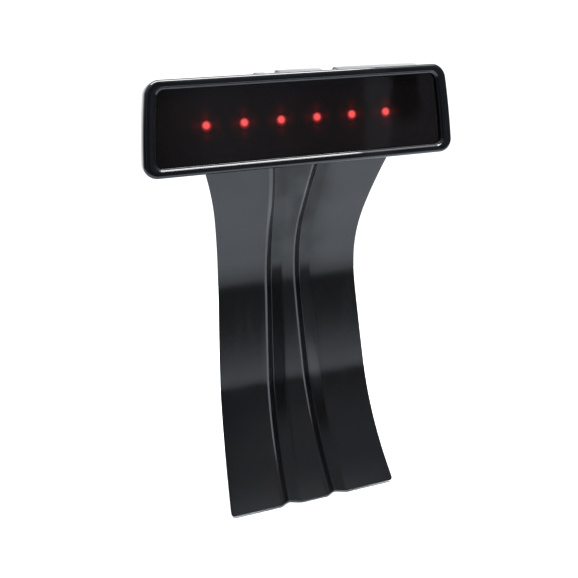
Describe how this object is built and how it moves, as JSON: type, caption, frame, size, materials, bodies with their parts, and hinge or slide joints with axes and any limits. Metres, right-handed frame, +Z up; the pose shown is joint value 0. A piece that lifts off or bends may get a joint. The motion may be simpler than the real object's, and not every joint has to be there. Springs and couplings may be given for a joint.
{
  "type": "third brake light",
  "caption": "High-level brake light: wide tapered head with a smoked lens over a row of red LEDs, on a waisted, curved mast with a bolt-on mounting plate at the back.",
  "frame": {"origin": "middle of the mounting plate's rear face, where the lamp is bolted to the spare wheel carrier or tailgate", "axes": "+Y out of the mounting plate's rear face, towards the vehicle; +Z up along the mast; +X to the right of someone standing behind the vehicle and facing it"},
  "size_m": [0.2092, 0.0801, 0.2892],
  "materials": {
    "gloss_black_plastic": "polished moulding",
    "satin_black_plastic": "fine satin moulding, slightly worn",
    "matte_black_nylon": "matte, glass-filled",
    "smoked_acrylic": "polished, darkly tinted, see-through to bright lamps",
    "clear_acrylic": "clear",
    "led_red": "glowing red",
    "board_solder_mask": "white solder mask",
    "chip_epoxy": "moulded epoxy",
    "capacitor_can": "drawn can",
    "black_rubber": "matte",
    "grey_foam": "closed-cell foam",
    "black_coated_steel": "black electrocoat",
    "zinc_plated_steel": "bright zinc",
    "tinned_brass": "tin plated"
  },
  "bodies": {
    "root": {"board_screw_1": "zinc_plated_steel", "board_screw_2": "zinc_plated_steel", "board_screw_3": "zinc_plated_steel", "board_screw_4": "zinc_plated_steel", "breather_vent": "black_rubber", "driver_chip": "chip_epoxy", "head_screw_1": "zinc_plated_steel", "head_screw_2": "zinc_plated_steel", "head_screw_3": "zinc_plated_steel", "head_screw_4": "zinc_plated_steel", "inlet_connector": "matte_black_nylon", "inlet_gasket": "black_rubber", "input_capacitor": "capacitor_can", "lamp_housing": "gloss_black_plastic", "led_1": "led_red", "led_2": "led_red", "led_3": "led_red", "led_4": "led_red", "led_5": "led_red", "led_6": "led_red", "led_board": "board_solder_mask", "led_optic_1": "clear_acrylic", "led_optic_2": "clear_acrylic", "led_optic_3": "clear_acrylic", "led_optic_4": "clear_acrylic", "led_optic_5": "clear_acrylic", "led_optic_6": "clear_acrylic", "lens_bezel": "gloss_black_plastic", "lens_seal": "black_rubber", "mast_core_frame": "matte_black_nylon", "mast_front_shell": "satin_black_plastic", "mast_rear_cover": "satin_black_plastic", "mast_screw_1": "zinc_plated_steel", "mast_screw_2": "zinc_plated_steel", "mast_screw_3": "zinc_plated_steel", "mast_screw_4": "zinc_plated_steel", "mast_screw_5": "zinc_plated_steel", "mast_screw_6": "zinc_plated_steel", "mounting_plate": "black_coated_steel", "mounting_stud_1": "zinc_plated_steel", "mounting_stud_2": "zinc_plated_steel", "mounting_stud_3": "zinc_plated_steel", "mounting_stud_4": "zinc_plated_steel", "neck_seal": "grey_foam", "optic_carrier": "matte_black_nylon", "protection_diode": "chip_epoxy", "rear_pad_left": "black_rubber", "rear_pad_right": "black_rubber", "shunt_resistor_left": "chip_epoxy", "shunt_resistor_right": "chip_epoxy", "side_clip_left": "matte_black_nylon", "side_clip_right": "matte_black_nylon", "smoked_lens": "smoked_acrylic", "terminal_pin_1": "tinned_brass", "terminal_pin_2": "tinned_brass"}
  },
  "joints": []
}
